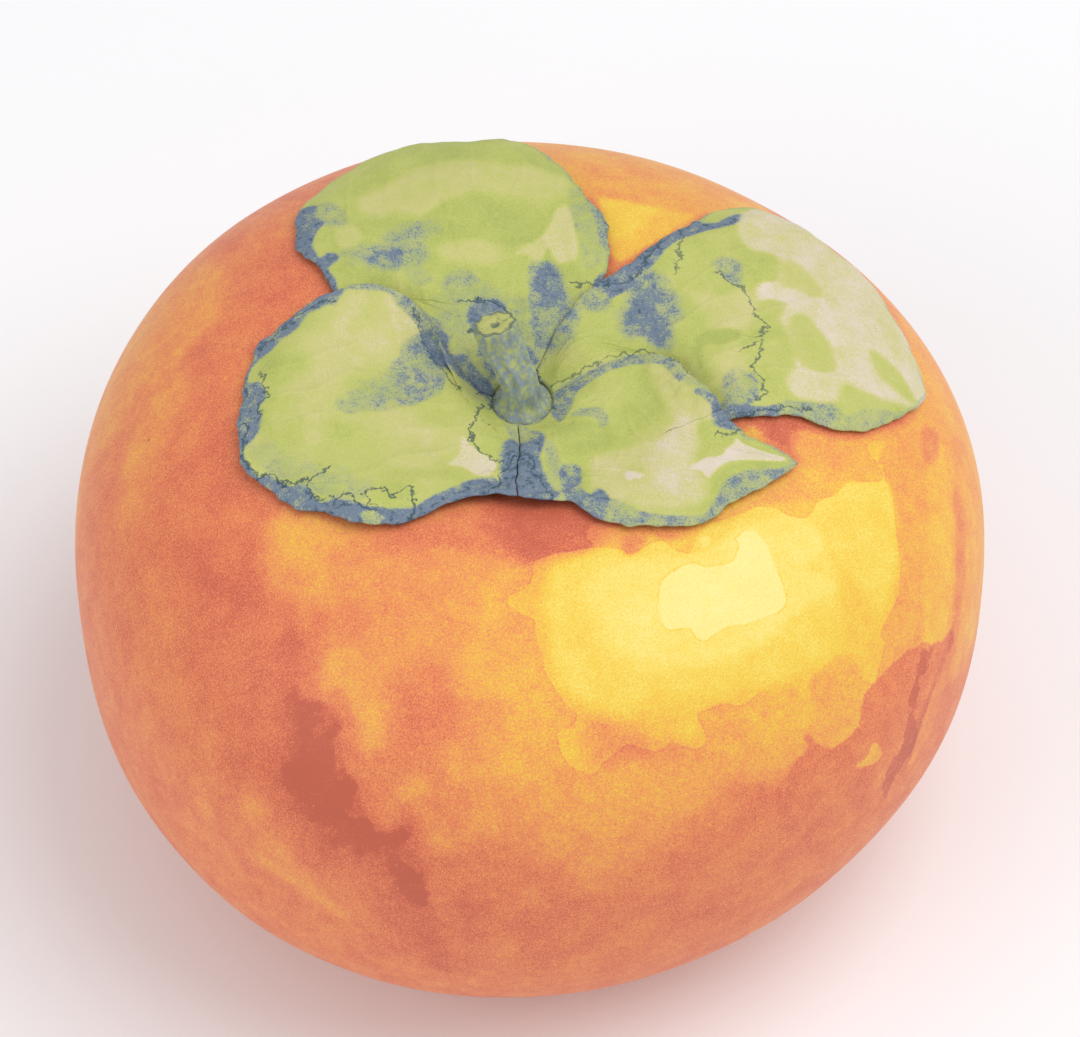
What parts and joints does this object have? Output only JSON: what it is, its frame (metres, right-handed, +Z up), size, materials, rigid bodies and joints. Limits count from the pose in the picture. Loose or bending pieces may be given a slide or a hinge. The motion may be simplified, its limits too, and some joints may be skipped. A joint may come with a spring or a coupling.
{
  "type": "persimmon",
  "caption": "Squat orange persimmon fruit with a green lobed calyx on its crown, a short leaning cut stem and a small flat at its base.",
  "frame": {"origin": "centre of the bounding box on the surface that the fruit rests on", "axes": "+Z up from the base to the crown, -Y towards the side that the picture shows, +X to that side's right"},
  "size_m": [0.0775, 0.0775, 0.0548],
  "materials": {
    "skin": "waxy orange fruit skin",
    "calyx": "dry leathery green",
    "stem": "dry bark with a cut end"
  },
  "bodies": {
    "root": {"fruit": "skin", "calyx_disc": "calyx", "sepal_back": "calyx", "sepal_left": "calyx", "sepal_front": "calyx", "sepal_right": "calyx", "stem_stub": "stem", "style_tip": "stem"}
  },
  "joints": []
}
